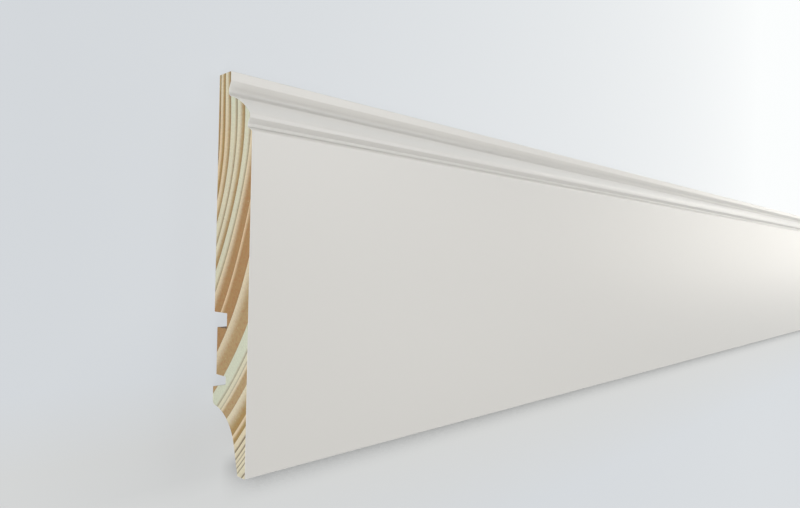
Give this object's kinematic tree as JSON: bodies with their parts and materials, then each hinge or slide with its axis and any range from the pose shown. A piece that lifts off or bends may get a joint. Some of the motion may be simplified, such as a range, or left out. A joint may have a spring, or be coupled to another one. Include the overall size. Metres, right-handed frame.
{
  "type": "skirting board",
  "caption": "Straight painted pine skirting board with a moulded top edge, clip grooves and recess in the back and a cable chase behind its bottom edge.",
  "frame": {"origin": "centre of the board's footprint on the floor, at the height of its back face, which lies on the floor", "axes": "+X along the board, +Y from its bottom edge to its moulded top edge, +Z out of its painted face"},
  "size_m": [2.4, 0.118, 0.019],
  "materials": {
    "painted_pine": "satin off-white paint on the face, the moulding, the top edge and the foot; bare pine on the back and the sawn ends"
  },
  "bodies": {
    "root": {"skirting_board": "painted_pine"}
  },
  "joints": []
}
